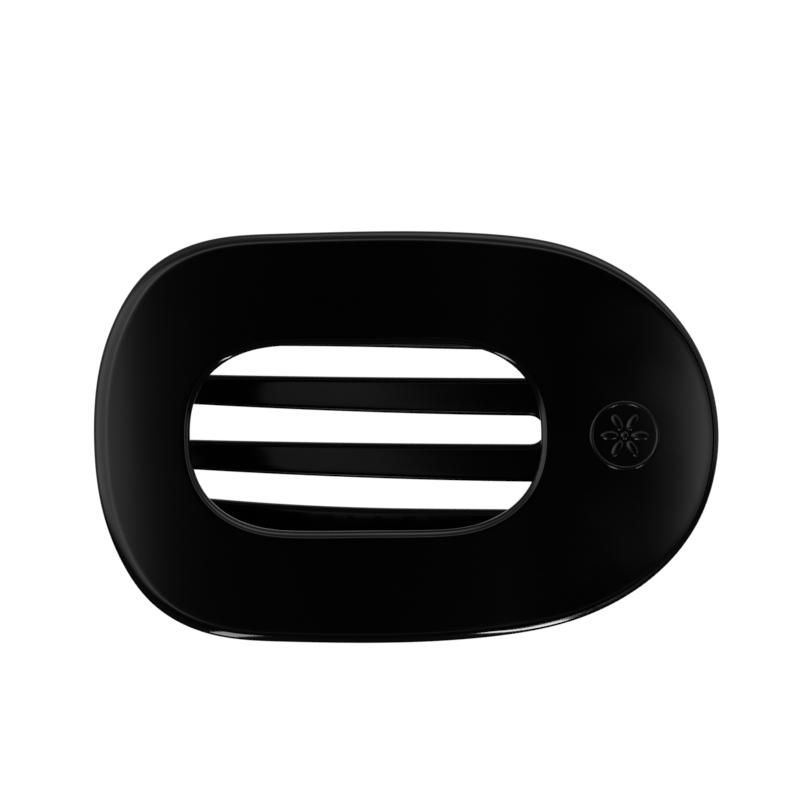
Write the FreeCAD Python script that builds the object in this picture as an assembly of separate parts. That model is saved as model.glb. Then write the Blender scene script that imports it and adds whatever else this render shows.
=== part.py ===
import FreeCAD, Part

import math
import os

# Flat oval claw clip for hair, in millimetres.
# The clip lies on its comb jaw: z = 0 is the surface under it, +X points to the thumb end,
# +Z is the outward side of the cover plate, and the origin is under the middle of the clip.
# Two jaws share a hinge pin along Y near the thumb end, and a coil spring holds them shut.

V = FreeCAD.Vector
ORIGIN = V(0, 0, 0)
UP = V(0, 0, 1)
ALONG_Y = V(0, 1, 0)
TALL = 40.0               # height of upright cutters, more than the clip's
MARGIN = 1.0              # how far a cutter runs past what it cuts

# ---- cover plate ----
PLATE_HALF_LENGTH = 44.5
PLATE_T = 2.4             # wall thickness
PLATE_ARCH_R = 184.0
PLATE_CREST_X = -9.3      # top of the arch
PLATE_CREST_Z = 20.401      # height of the mid surface there
FLARE_START_X = 15.0      # from here the thumb end bends up, the other way
FLARE_R = 76.0
PLATE_EDGE_TOP_R = 1.1    # rounding of the outer edge
PLATE_EDGE_UNDER_R = 0.9
# Half of the egg-shaped outline, from the blunt jaw end to the thumb end.
PLATE_HALF_OUTLINE = [
    (-43.3, 11.1), (-41.0, 17.4), (-36.2, 24.1), (-28.6, 28.1), (-18.0, 29.25), (-5.0, 29.5),
    (12.0, 28.9), (22.7, 27.1), (31.2, 23.35), (37.6, 18.1), (41.9, 11.75), (43.9, 5.7),
]

# ---- slot in the cover plate ----
SLOT_X0 = -30.7
SLOT_X1 = 19.3
SLOT_HALF_W = 13.35
SLOT_END_LENGTH = 15.6    # length of each rounded end
SLOT_END_POWER = 2.4      # 2 would be an ellipse; more is squarer
SLOT_EDGE_TOP_R = 1.0
SLOT_EDGE_UNDER_R = 0.7

# ---- emblem on the thumb end: a plain ring round a six-petal flower ----
EMBLEM_X = 31.2
EMBLEM_HEIGHT = 0.25
EMBLEM_ROOT = 0.4         # how far it is let into the plate
RING_OUTER_R = 5.0
RING_INNER_R = 4.4
PETALS = 6
PETAL_LENGTH = 2.6
PETAL_WIDTH = 1.3
PETAL_INNER_R = 0.85
FLOWER_EYE_R = 0.6

# ---- hinge ----
PIN_X = 27.0
PIN_Z = PLATE_CREST_Z - 6.15
PIN_R = 0.8
PIN_HALF_LENGTH = 10.3
PIN_CHAMFER = 0.2
LUG_BORE_R = 0.86         # the plate turns on the pin
LUG_R = 1.85
LUG_Y0 = 5.2
LUG_Y1 = 7.4
LUG_NECK = 3.6            # from the pin up into the plate's wall
KNUCKLE_R = 2.2           # the pin is pressed into these
KNUCKLE_Y0 = 7.6
KNUCKLE_Y1 = 10.3
KNUCKLE_NECK = 3.2        # from the pin down into the tab

# ---- comb jaw ----
COMB_ARCH_R = 215.0
COMB_CREST_X = 41.9       # where the tines' arch would be level
COMB_CREST_Z = PLATE_CREST_Z - 6.1
COMB_T = 2.3
TINE_ROOT_X = 19.0        # tines run this far into the web
GAP_ROOT_X = 19.8         # round ends of the gaps between the tines
WEB_X0 = 17.0
TINE_INNER_Y = 4.77
TINE_OUTER_Y = 14.2
OUTER_TINE_BOW = 0.0011   # inward, times the square of the reach past the middle
TINE_ROOT_W = 5.37
TINE_BELLY_W = 4.27
TINE_NARROWING = 1.5      # power: most of the narrowing is near the belly
TINE_TIP_W = 2.4
TINE_TIP_T = 1.3
TINE_CORNER = 0.36        # corner rounding as a share of the thickness
TINE_STATIONS = 6         # sections along the arch, and as many round the hook
HOOK_START_X = -31.0
HOOK_R = 8.0
HOOK_END_DEG = 86.0       # the tips stand almost upright
OUTER_HOOK_SHIFT = 2.3    # outer tines hook up this much nearer the hinge
TIP_CLEARANCE = 0.35      # between the tips and the plate above them
WEB_LEVEL_LENGTH = 3.0
TAB_BEND_R = 6.0
TAB_SLOPE_DEG = 38.0
TAB_SLOPE_LENGTH = 14.96
TAB_FLARE_R = 7.0
TAB_END_DEG = 5.0
TAB_END_LENGTH = 3.0
# Half of the outline of web and thumb tab, from the web's corner to the tab's nose.
BASE_HALF_OUTLINE = [
    (WEB_X0, 16.9), (20.5, 16.4), (24.0, 13.6), (28.0, 11.4), (33.0, 10.6), (37.6, 9.2), (40.7, 5.6),
]
TAB_NOSE_X = 41.9
BASE_EDGE_R = 0.8

# ---- grip teeth under the plate's jaw end, between the tine tips ----
TOOTH_X = -39.4
TOOTH_T = 1.7
TOOTH_W = 2.6
TOOTH_DROP = 5.0
TOOTH_TIP_R = 0.75
TOOTH_YS = (-9.0, 0.0, 9.0)

# ---- torsion spring ----
WIRE_R = 0.45
WIRE_BEND_R = 0.5         # where a leg leaves the coil
COIL_R = 1.62             # to the middle of the wire
COIL_TURNS = 8
COIL_HALF_LENGTH = 4.25
PLATE_LEG_ANGLE = math.radians(-8.4)   # how far each leg slopes down from the coil
TAB_LEG_ANGLE = math.radians(37.0)
PLATE_LEG_REACH_X = 36.0
TAB_LEG_REACH_X = 35.0


def arch_z(x, radius, crest_x, crest_z):
    """Height at x of a circular arch."""
    return crest_z - radius + math.sqrt(radius ** 2 - (x - crest_x) ** 2)


def arch_angle(x, radius, crest_x):
    """Slope angle of a circular arch at x, in radians."""
    return -math.asin((x - crest_x) / radius)


def plate_section(x):
    """Height and slope angle of the plate's mid surface: an arch, then the flare."""
    if x <= FLARE_START_X:
        z = arch_z(x, PLATE_ARCH_R, PLATE_CREST_X, PLATE_CREST_Z)
        return z, arch_angle(x, PLATE_ARCH_R, PLATE_CREST_X)
    start_z, start_angle = plate_section(FLARE_START_X)
    centre_x = FLARE_START_X - FLARE_R * math.sin(start_angle)
    centre_z = start_z + FLARE_R * math.cos(start_angle)
    angle = math.asin((x - centre_x) / FLARE_R)
    return centre_z - FLARE_R * math.cos(angle), angle


def plate_z(x):
    return plate_section(x)[0]


def plate_point(x, offset):
    """A point on the plate's section at x, moved square off its mid surface."""
    z, angle = plate_section(x)
    return V(x - offset * math.sin(angle), 0, z + offset * math.cos(angle))


def plate_arcs(offset, x0, x1):
    """The plate's section line at an offset: an arc for the arch and one for the flare."""
    p0 = plate_point(x0, offset)
    p1 = plate_point((x0 + FLARE_START_X) / 2, offset)
    p2 = plate_point(FLARE_START_X, offset)
    p3 = plate_point((x1 + FLARE_START_X) / 2, offset)
    p4 = plate_point(x1, offset)
    return Part.Arc(p0, p1, p2).toShape(), Part.Arc(p2, p3, p4).toShape()


def plate_slab(low, high, reach):
    """A slab that follows the plate between two offsets from its mid surface."""
    x0 = -PLATE_HALF_LENGTH - PLATE_T
    x1 = PLATE_HALF_LENGTH + PLATE_T
    under = plate_arcs(low, x0, x1)
    over = plate_arcs(high, x0, x1)
    left = Part.makeLine(plate_point(x0, low), plate_point(x0, high))
    right = Part.makeLine(plate_point(x1, low), plate_point(x1, high))
    wire = Part.Wire(Part.__sortEdges__([*under, right, *over, left]))
    slab = Part.Face(wire).extrude(V(0, 2 * reach, 0))
    slab.translate(V(0, -reach, 0))
    return slab


def closed_spline(points):
    curve = Part.BSplineCurve()
    curve.interpolate(Points=points, PeriodicFlag=True)
    return Part.Wire(curve.toShape())


def prism(wire, height):
    """An upright prism on a flat outline drawn at z = 0, starting a little below it."""
    solid = Part.Face(wire).extrude(UP * (height + MARGIN))
    solid.translate(UP * -MARGIN)
    return solid


def plate_outline():
    upper = [V(x, y, 0) for x, y in PLATE_HALF_OUTLINE]
    lower = [V(x, -y, 0) for x, y in reversed(PLATE_HALF_OUTLINE)]
    jaw_end = V(-PLATE_HALF_LENGTH, 0, 0)
    thumb_end = V(PLATE_HALF_LENGTH, 0, 0)
    return closed_spline([jaw_end, *upper, thumb_end, *lower])


def slot_outline():
    """Two straight sides joined by rounded ends that are a little squarer than ellipses."""
    quarter = []
    for degrees in (0, 20, 38, 54, 68, 80):
        angle = math.radians(degrees)
        along = SLOT_END_LENGTH * math.sin(angle) ** (2 / SLOT_END_POWER) if degrees else 0.0
        across = SLOT_HALF_W * math.cos(angle) ** (2 / SLOT_END_POWER)
        quarter.append((along, across))
    right_x = SLOT_X1 - SLOT_END_LENGTH
    left_x = SLOT_X0 + SLOT_END_LENGTH
    middle_x = (left_x + right_x) / 2
    points = [V(middle_x, SLOT_HALF_W, 0)]
    points += [V(right_x + a, b, 0) for a, b in quarter]
    points += [V(SLOT_X1, 0, 0)]
    points += [V(right_x + a, -b, 0) for a, b in reversed(quarter)]
    points += [V(middle_x, -SLOT_HALF_W, 0)]
    points += [V(left_x - a, -b, 0) for a, b in quarter]
    points += [V(SLOT_X0, 0, 0)]
    points += [V(left_x - a, b, 0) for a, b in reversed(quarter)]
    return closed_spline(points)


def cylinder_y(radius, y0, y1, x=PIN_X, z=PIN_Z):
    return Part.makeCylinder(radius, y1 - y0, V(x, y0, z), ALONG_Y)


def both_sides(shape):
    """A shape and its mirror image across the clip's middle plane."""
    return [shape, shape.mirror(V(0, 0, 0), ALONG_Y)]


def make_emblem():
    """Raised ring and flower, following the plate's outer surface."""
    ring = Part.makeCylinder(RING_OUTER_R, TALL).cut(Part.makeCylinder(RING_INNER_R, TALL))
    eye = Part.makeCylinder(FLOWER_EYE_R, TALL)
    shapes = [ring, eye]
    for i in range(PETALS):
        oval = Part.Wire(Part.Ellipse(ORIGIN, PETAL_LENGTH / 2, PETAL_WIDTH / 2).toShape())
        petal = Part.Face(oval).extrude(UP * TALL)
        petal.translate(V(PETAL_INNER_R + PETAL_LENGTH / 2, 0, 0))
        petal.rotate(ORIGIN, UP, 360.0 * i / PETALS)
        shapes.append(petal)
    relief = Part.makeCompound(shapes)
    relief.translate(V(EMBLEM_X, 0, 0))
    skin = plate_slab(PLATE_T / 2 - EMBLEM_ROOT, PLATE_T / 2 + EMBLEM_HEIGHT, RING_OUTER_R + MARGIN)
    return [skin.common(solid) for solid in relief.Solids]


def make_lug():
    """One hinge lug: a round eye on a neck that runs up into the plate."""
    eye = cylinder_y(LUG_R, LUG_Y0, LUG_Y1)
    neck = Part.makeBox(2 * LUG_R, LUG_Y1 - LUG_Y0, LUG_NECK, V(PIN_X - LUG_R, LUG_Y0, PIN_Z))
    return eye.fuse(neck)


def make_knuckle():
    """One knuckle: a round eye on a neck that stands square on the sloping tab."""
    eye = cylinder_y(KNUCKLE_R, KNUCKLE_Y0, KNUCKLE_Y1)
    corner = V(PIN_X - KNUCKLE_R, KNUCKLE_Y0, PIN_Z - KNUCKLE_NECK)
    neck = Part.makeBox(2 * KNUCKLE_R, KNUCKLE_Y1 - KNUCKLE_Y0, KNUCKLE_NECK, corner)
    neck.rotate(V(PIN_X, 0, PIN_Z), ALONG_Y, TAB_SLOPE_DEG)
    return eye.fuse(neck)


def make_tooth(y):
    """A short tapered tooth that hangs from the plate between two tine tips."""
    root_z = plate_z(TOOTH_X)
    corner = V(TOOTH_X - TOOTH_T / 2, y - TOOTH_W / 2, root_z - TOOTH_DROP)
    tooth = Part.makeBox(TOOTH_T, TOOTH_W, TOOTH_DROP, corner)
    tip_edges = [edge for edge in tooth.Edges if edge.BoundBox.ZMax < root_z - TOOTH_DROP / 2]
    return tooth.makeFillet(TOOTH_TIP_R, tip_edges)


def in_slot(edge):
    box = edge.BoundBox
    return max(-box.YMin, box.YMax) < SLOT_HALF_W + MARGIN and box.XMax < SLOT_X1 + MARGIN


def round_plate_rims(plate, slot_r, outer_r, side):
    """Rounds the slot's rim and the outer edge on one side: 1 is the outside, -1 the underside."""
    for radius, wants_slot in ((slot_r, True), (outer_r, False)):
        rims = []
        for edge in plate.Edges:
            mid = edge.valueAt((edge.FirstParameter + edge.LastParameter) / 2)
            on_side = side * (mid.z - plate_z(mid.x)) > PLATE_T / 8
            if edge.Length > 4 * PLATE_T and on_side and in_slot(edge) == wants_slot:
                rims.append(edge)
        plate = plate.makeFillet(radius, rims)
    return plate


def make_cover_plate():
    slab = plate_slab(-PLATE_T / 2, PLATE_T / 2, PLATE_HALF_LENGTH)
    plate = slab.common(prism(plate_outline(), TALL))
    plate = plate.cut(prism(slot_outline(), TALL)).Solids[0]
    plate = round_plate_rims(plate, SLOT_EDGE_TOP_R, PLATE_EDGE_TOP_R, 1)
    plate = round_plate_rims(plate, SLOT_EDGE_UNDER_R, PLATE_EDGE_UNDER_R, -1)
    extras = make_emblem() + both_sides(make_lug()) + [make_tooth(y) for y in TOOTH_YS]
    plate = plate.fuse(extras)
    return plate.cut(cylinder_y(LUG_BORE_R, -LUG_Y1 - MARGIN, LUG_Y1 + MARGIN))


class Path:
    """A path in the XZ plane made of straight runs and arcs, each joining the last smoothly."""

    def __init__(self, x, z, heading):
        self.x = x
        self.z = z
        self.heading = heading
        self.runs = []

    def add(self, length, turn=0.0):
        """Adds a run that turns left by an angle in radians; 0 is straight."""
        self.runs.append((self.x, self.z, self.heading, length, turn))
        self.x, self.z, self.heading = self.at(len(self.runs) - 1, 1.0)

    def at(self, index, share):
        """Place and heading at a share of the way along one run."""
        x, z, heading, length, turn = self.runs[index]
        if turn == 0.0:
            reach = length * share
            return x + reach * math.cos(heading), z + reach * math.sin(heading), heading
        radius = length / turn
        now = heading + turn * share
        return (x + radius * (math.sin(now) - math.sin(heading)),
                z - radius * (math.cos(now) - math.cos(heading)), now)

    def point(self, index, share, offset):
        """A point beside the path, to its left where offset is positive."""
        x, z, heading = self.at(index, share)
        return V(x - offset * math.sin(heading), 0, z + offset * math.cos(heading))

    def side(self, offset):
        """The edges of a line that stays at an offset from the path."""
        edges = []
        for index, run in enumerate(self.runs):
            start, middle, end = (self.point(index, share, offset) for share in (0.0, 0.5, 1.0))
            if run[4] == 0.0:
                edges.append(Part.makeLine(start, end))
            else:
                edges.append(Part.Arc(start, middle, end).toShape())
        return edges


def comb_z(x):
    return arch_z(x, COMB_ARCH_R, COMB_CREST_X, COMB_CREST_Z)


def comb_angle(x):
    return arch_angle(x, COMB_ARCH_R, COMB_CREST_X)


def make_tine_path(hook_shift):
    """From the web back along the arch, round the hook and up to the plate."""
    hook_x = HOOK_START_X + hook_shift
    root_angle = comb_angle(TINE_ROOT_X)
    hook_angle = comb_angle(hook_x)
    path = Path(TINE_ROOT_X, comb_z(TINE_ROOT_X), math.pi + root_angle)
    path.add(COMB_ARCH_R * (hook_angle - root_angle), hook_angle - root_angle)
    turn = hook_angle + math.radians(HOOK_END_DEG)
    path.add(HOOK_R * turn, -turn)
    top = plate_z(path.x) - PLATE_T / 2 - TIP_CLEARANCE
    path.add((top - path.z) / math.sin(path.heading))
    return path


def rounded_section(centre, up, width, thickness):
    """A rounded rectangle across Y, standing square to the tine's path."""
    corner = TINE_CORNER * thickness
    half_w = width / 2
    half_t = thickness / 2
    bulge = corner * (1 - math.sqrt(0.5))
    edges = []
    corners = []
    for sy, su in ((1, 1), (-1, 1), (-1, -1), (1, -1)):
        near_side = (sy * half_w, su * (half_t - corner))
        near_top = (sy * (half_w - corner), su * half_t)
        between = (sy * (half_w - bulge), su * (half_t - bulge))
        ends = (near_side, between, near_top) if sy * su > 0 else (near_top, between, near_side)
        corners.append([centre + ALONG_Y * a + up * b for a, b in ends])
    for index, ends in enumerate(corners):
        edges.append(Part.Arc(*ends).toShape())
        edges.append(Part.makeLine(ends[2], corners[(index + 1) % 4][0]))
    return Part.Wire(edges)


def tine_width(x):
    """Tines narrow from the web to the belly, where the hook starts."""
    share = (TINE_ROOT_X - max(x, HOOK_START_X)) / (TINE_ROOT_X - HOOK_START_X)
    return TINE_ROOT_W - (TINE_ROOT_W - TINE_BELLY_W) * share ** TINE_NARROWING


def outer_tine_y(x):
    """The outer tines bow in towards the tips."""
    return TINE_OUTER_Y - OUTER_TINE_BOW * min(0.0, x) ** 2


def make_tine(is_outer):
    path = make_tine_path(OUTER_HOOK_SHIFT if is_outer else 0.0)
    stations = [(index, i / TINE_STATIONS) for index in (0, 1) for i in range(TINE_STATIONS)]
    stations += [(2, share) for share in (0.0, 0.5, 1.0)]
    arch_length, bend_length, tip_length = (run[3] for run in path.runs)
    travelled = (0.0, arch_length, arch_length + bend_length)
    sections = []
    for index, share in stations:
        x, z, heading = path.at(index, share)
        past_arch = travelled[index] + path.runs[index][3] * share - arch_length
        taper = max(0.0, past_arch / (bend_length + tip_length))
        width = tine_width(x) * (1 - taper) + TINE_TIP_W * taper
        thickness = COMB_T * (1 - taper) + TINE_TIP_T * taper
        y = outer_tine_y(x) if is_outer else TINE_INNER_Y
        up = V(math.sin(heading), 0, -math.cos(heading))
        sections.append(rounded_section(V(x, y, z), up, width, thickness))
    return Part.makeLoft(sections, True, False)


def make_base_path():
    """Web and thumb tab: level with the tines, bent down past the hinge, flared at the end."""
    start_angle = comb_angle(WEB_X0)
    slope = math.radians(TAB_SLOPE_DEG)
    end = math.radians(TAB_END_DEG)
    path = Path(WEB_X0, comb_z(WEB_X0), start_angle)
    path.add(WEB_LEVEL_LENGTH, -WEB_LEVEL_LENGTH / COMB_ARCH_R)
    turn = path.heading + slope
    path.add(TAB_BEND_R * turn, -turn)
    path.add(TAB_SLOPE_LENGTH)
    path.add(TAB_FLARE_R * (slope - end), slope - end)
    path.add(TAB_END_LENGTH)
    return path


def make_comb_gaps():
    """The round-ended gaps between the tines, where they run into the web."""
    cutters = []
    tine_ys = (-TINE_OUTER_Y, -TINE_INNER_Y, TINE_INNER_Y, TINE_OUTER_Y)
    for low, high in zip(tine_ys, tine_ys[1:]):
        y = (low + high) / 2
        radius = (high - low - TINE_ROOT_W) / 2
        end_x = GAP_ROOT_X - radius
        start_x = WEB_X0 - MARGIN
        cutters.append(Part.makeBox(end_x - start_x, 2 * radius, TALL, V(start_x, y - radius, 0)))
        cutters.append(Part.makeCylinder(radius, TALL, V(end_x, y, 0)))
    return cutters


def make_comb_base():
    path = make_base_path()
    over = path.side(COMB_T / 2)
    under = path.side(-COMB_T / 2)
    first = Part.makeLine(over[0].Vertexes[0].Point, under[0].Vertexes[0].Point)
    last = Part.makeLine(over[-1].Vertexes[-1].Point, under[-1].Vertexes[-1].Point)
    wire = Part.Wire(Part.__sortEdges__([*over, last, *under, first]))
    half_w = BASE_HALF_OUTLINE[0][1] + MARGIN
    band = Part.Face(wire).extrude(ALONG_Y * 2 * half_w)
    band.translate(ALONG_Y * -half_w)
    upper = [V(x, y, 0) for x, y in BASE_HALF_OUTLINE]
    lower = [V(x, -y, 0) for x, y in reversed(BASE_HALF_OUTLINE)]
    curve = Part.BSplineCurve()
    curve.interpolate([*upper, V(TAB_NOSE_X, 0, 0), *lower])
    outline = Part.Wire([curve.toShape(), Part.makeLine(lower[-1], upper[0])])
    base = band.common(prism(outline, TALL)).cut(make_comb_gaps())
    return base.makeFillet(BASE_EDGE_R, [edge for edge in base.Edges if is_rim_of_base(edge)])


def is_rim_of_base(edge):
    """Edges that run round web, gaps and tab, not the bend lines or the upright corners."""
    start, mid, end = (edge.valueAt(edge.FirstParameter + share * (edge.LastParameter - edge.FirstParameter))
                       for share in (0.0, 0.5, 1.0))
    crosswise = max(abs(start.x - mid.x), abs(end.x - mid.x)) < COMB_T / 100
    upright = math.hypot(start.x - end.x, start.y - end.y) < COMB_T / 8
    return not crosswise and not upright


def coil_point(angle, radius=COIL_R):
    """A point on the coil, seen along the pin, at an angle from straight up towards the thumb end."""
    return V(PIN_X + radius * math.sin(angle), 0, PIN_Z + radius * math.cos(angle))


def make_leg_line(coil_angle, y, reach_x):
    """Start and end of a spring leg that leaves the coil at a tangent."""
    start = coil_point(coil_angle) + ALONG_Y * y
    slope = math.tan(coil_angle)
    end = V(reach_x, y, start.z - slope * (reach_x - start.x))
    return start, end


def make_comb_jaw():
    tines = both_sides(make_tine(False)) + both_sides(make_tine(True))
    comb = make_comb_base().fuse(both_sides(make_knuckle()) + tines)
    return comb.cut(cylinder_y(PIN_R, -KNUCKLE_Y1 - MARGIN, KNUCKLE_Y1 + MARGIN))


def make_hinge_pin():
    pin = cylinder_y(PIN_R, -PIN_HALF_LENGTH, PIN_HALF_LENGTH)
    return pin.makeChamfer(PIN_CHAMFER, [edge for edge in pin.Edges if edge.Closed])


def make_leg(coil_angle, y, reach_x):
    """A straight leg with a round end; the wire is a little swollen where it leaves the coil."""
    start, end = make_leg_line(coil_angle, y, reach_x)
    along = end - start
    leg = Part.makeCylinder(WIRE_R, along.Length, start, along)
    return leg.fuse([Part.makeSphere(WIRE_BEND_R, start), Part.makeSphere(WIRE_R, end)])


def make_torsion_spring():
    """A close coil round the pin; one leg lies under the plate, the other on the thumb tab."""
    first_angle = math.pi + TAB_LEG_ANGLE
    last_angle = 2 * math.pi * COIL_TURNS + PLATE_LEG_ANGLE
    turns = (last_angle - first_angle) / (2 * math.pi)
    pitch = 2 * COIL_HALF_LENGTH / turns
    helix = Part.makeHelix(pitch, 2 * COIL_HALF_LENGTH, COIL_R)
    wire_heading = V(0, COIL_R, pitch / (2 * math.pi))
    wire_section = Part.Wire(Part.Circle(V(COIL_R, 0, 0), wire_heading, WIRE_R).toShape())
    coil = Part.Wire(helix).makePipeShell([wire_section], True, True)
    towards = V(math.sin(first_angle), 0, math.cos(first_angle))
    onward = V(math.cos(first_angle), 0, -math.sin(first_angle))
    turned = FreeCAD.Rotation(towards, onward, ALONG_Y, "XYZ")
    coil.Placement = FreeCAD.Placement(V(PIN_X, -COIL_HALF_LENGTH, PIN_Z), turned)
    tab_leg = make_leg(TAB_LEG_ANGLE - math.pi, -COIL_HALF_LENGTH, TAB_LEG_REACH_X)
    plate_leg = make_leg(PLATE_LEG_ANGLE, COIL_HALF_LENGTH, PLATE_LEG_REACH_X)
    return coil.fuse([tab_leg, plate_leg])


def main():
    os.makedirs("parts", exist_ok=True)
    nodes = {
        "cover_plate": make_cover_plate(),
        "comb_jaw": make_comb_jaw(),
        "hinge_pin": make_hinge_pin(),
        "torsion_spring": make_torsion_spring(),
    }
    for name, shape in nodes.items():
        solids = shape.Solids
        if len(solids) != 1 or not shape.isValid():
            raise ValueError(f"{name} is not one sound solid")
        solids[0].exportStep(f"parts/{name}.step")
        print(name, round(solids[0].Volume, 1), solids[0].optimalBoundingBox())


main()
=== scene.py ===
import math

import bmesh
import bpy
import numpy as np
from mathutils import Matrix, Vector
from mathutils.geometry import delaunay_2d_cdt


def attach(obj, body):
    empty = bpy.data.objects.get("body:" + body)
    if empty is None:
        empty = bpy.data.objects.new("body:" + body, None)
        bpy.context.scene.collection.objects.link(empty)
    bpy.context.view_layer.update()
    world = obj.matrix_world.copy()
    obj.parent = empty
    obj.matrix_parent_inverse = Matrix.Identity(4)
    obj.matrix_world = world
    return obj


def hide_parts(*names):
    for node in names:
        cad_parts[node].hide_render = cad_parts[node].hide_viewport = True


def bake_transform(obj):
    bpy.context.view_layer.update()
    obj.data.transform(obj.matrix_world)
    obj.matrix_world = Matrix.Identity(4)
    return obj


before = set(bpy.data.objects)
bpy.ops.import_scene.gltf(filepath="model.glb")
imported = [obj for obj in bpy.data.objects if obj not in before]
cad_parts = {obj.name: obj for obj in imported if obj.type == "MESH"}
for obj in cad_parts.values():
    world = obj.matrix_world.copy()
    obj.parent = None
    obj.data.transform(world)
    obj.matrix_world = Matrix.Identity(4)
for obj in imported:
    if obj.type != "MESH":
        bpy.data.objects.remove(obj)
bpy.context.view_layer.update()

# Sizes of the pieces are in millimetres, in the frame of the CAD model; meshes are scaled on creation.
MM = 0.001
TINY = 1e-9

# ---- cover plate ----
PLATE_HALF_LENGTH = 44.5
PLATE_T = 2.4
PLATE_ARCH_R = 184.0
PLATE_CREST_X = -9.3
PLATE_CREST_Z = 20.401
FLARE_START_X = 15.0
FLARE_R = 76.0
FLARE_BLEND = 4.0          # half the length over which the arch passes into the flare
PLATE_EDGE_TOP_R = 1.1
PLATE_EDGE_TOP_INSET = 1.9     # the outer edge is softer across than it is deep
THUMB_EDGE_TOP_INSET = 0.9     # and crisper round the thumb end
THUMB_EDGE_X0 = 33.0
THUMB_EDGE_X1 = 42.0
PLATE_EDGE_UNDER_R = 0.9
PLATE_HALF_OUTLINE = [
    (-43.3, 11.1), (-41.0, 17.4), (-36.2, 24.1), (-28.6, 28.1), (-18.0, 29.25), (-5.0, 29.5),
    (12.0, 28.9), (22.7, 27.1), (31.2, 23.35), (37.6, 18.1), (41.9, 11.75), (43.9, 5.7),
]
SLOT_X0 = -30.7
SLOT_X1 = 19.3
SLOT_HALF_W = 13.35
SLOT_END_LENGTH = 15.6
SLOT_END_POWER = 2.4
SLOT_EDGE_TOP_R = 1.0
SLOT_EDGE_TOP_INSET = 1.15
SLOT_EDGE_UNDER_R = 0.7

# ---- emblem ----
EMBLEM_X = 31.2
EMBLEM_HEIGHT = 0.25
RING_OUTER_R = 5.0
RING_INNER_R = 4.4
PETALS = 6
PETAL_LENGTH = 2.6
PETAL_WIDTH = 1.3
PETAL_INNER_R = 0.85
FLOWER_EYE_R = 0.6
EMBLEM_FOOT = -0.12        # its side walls start inside the plate
EMBLEM_CROWN_POWER = 0.7   # below 1, the raised lines are flatter on top than round ones

# ---- hinge ----
PIN_X = 27.0
PIN_Z = PLATE_CREST_Z - 6.15
PIN_R = 0.8
LUG_BORE_R = 0.86
LUG_R = 1.85
LUG_Y0 = 5.2
LUG_Y1 = 7.4
LUG_NECK = 3.6
KNUCKLE_R = 2.2
KNUCKLE_Y0 = 7.6
KNUCKLE_Y1 = 10.3
KNUCKLE_NECK = 3.2
EYE_EDGE_R = 0.3

# ---- comb jaw ----
COMB_ARCH_R = 215.0
COMB_CREST_X = 41.9
COMB_CREST_Z = PLATE_CREST_Z - 6.1
COMB_T = 2.3
GAP_ROOT_X = 19.8
WEB_X0 = 17.0
TINE_ROOT_X = 19.0
TINE_INNER_Y = 4.77
TINE_OUTER_Y = 14.2
OUTER_TINE_BOW = 0.0011
TINE_ROOT_W = 5.37
TINE_BELLY_W = 4.27
TINE_NARROWING = 1.5
TINE_TIP_W = 2.4
TINE_TIP_T = 1.3
TINE_CORNER = 0.36         # rounding of the comb's edges, as a share of its thickness
TINE_NOSE = 1.0            # length of a tine's round end
TINE_NOSE_POWER = 0.72
OUTER_TINE_START_S = -1.5  # where the web's side passes into the outer tine
HOOK_START_X = -31.0
HOOK_R = 8.0
HOOK_END_DEG = 86.0
OUTER_HOOK_SHIFT = 2.3
TIP_CLEARANCE = 0.35
WEB_LEVEL_LENGTH = 3.0
TAB_BEND_R = 6.0
TAB_SLOPE_DEG = 38.0
TAB_SLOPE_LENGTH = 14.96
TAB_FLARE_R = 7.0
TAB_END_DEG = 5.0
TAB_END_LENGTH = 3.0
BASE_HALF_OUTLINE = [
    (WEB_X0, 16.9), (20.5, 16.4), (24.0, 13.6), (28.0, 11.4), (33.0, 10.6), (37.6, 9.2), (40.7, 5.6),
]
TAB_NOSE_X = 41.9

# ---- grip teeth ----
TOOTH_X = -39.4
TOOTH_T = 1.7
TOOTH_W = 2.6
TOOTH_DROP = 5.0
TOOTH_YS = (-9.0, 0.0, 9.0)
TOOTH_TIP_R = 0.75
TOOTH_CORNER_R = 0.4
TOOTH_TIP_CORNER_R = 0.08

# ---- torsion spring ----
WIRE_R = 0.45
COIL_R = 1.62
COIL_TURNS = 8
COIL_HALF_LENGTH = 4.25
PLATE_LEG_ANGLE = math.radians(-8.4)
TAB_LEG_ANGLE = math.radians(37.0)
PLATE_LEG_REACH_X = 36.0
TAB_LEG_REACH_X = 35.0
WIRE_END_ANGLES = (0.25, 0.6, 0.95, 1.3)   # rings that round off the wire's ends

# ---- fineness of the meshes ----
PLATE_STATIONS = 420       # points round the plate's outline
TOP_ROWS = 30              # rows from the slot to the outline
UNDER_ROWS = 12
ROUND_STEPS = 12
PLATE_TABLE_STEP = 0.02
LOOP_SAMPLES = 60          # spline points between two given points
LINE_SAMPLES = 40
EYE_POINTS = 72
EYE_EDGE_STEPS = 3
BLOCK_CORNER_POINTS = 6
TOOTH_TIP_STEPS = 5
RING_POINTS = 144
RING_STEPS = 8
PETAL_POINTS = 40
PETAL_STEPS = 7
WALK_STEP = 0.05
TINE_EDGE_POINTS = 130
TINE_NOSE_POINTS = 15
GAP_ROOT_POINTS = 19
MIDDLE_ROOT_POINTS = 10
COMB_LOOP_SPACING = 0.4
COMB_EDGE_STEPS = 6
COMB_GRID_SPACING = 1.0
COMB_GRID_SQUEEZE = 0.9    # the grid is a little closer across the clip than along it
FILL_INSIDE = 1            # the triangulation's mode that keeps only what the outline encloses
FILL_TOLERANCE = 1e-7
LEG_STEPS = 16
COIL_STEPS = 40            # for each turn
WIRE_POINTS = 14

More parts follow.
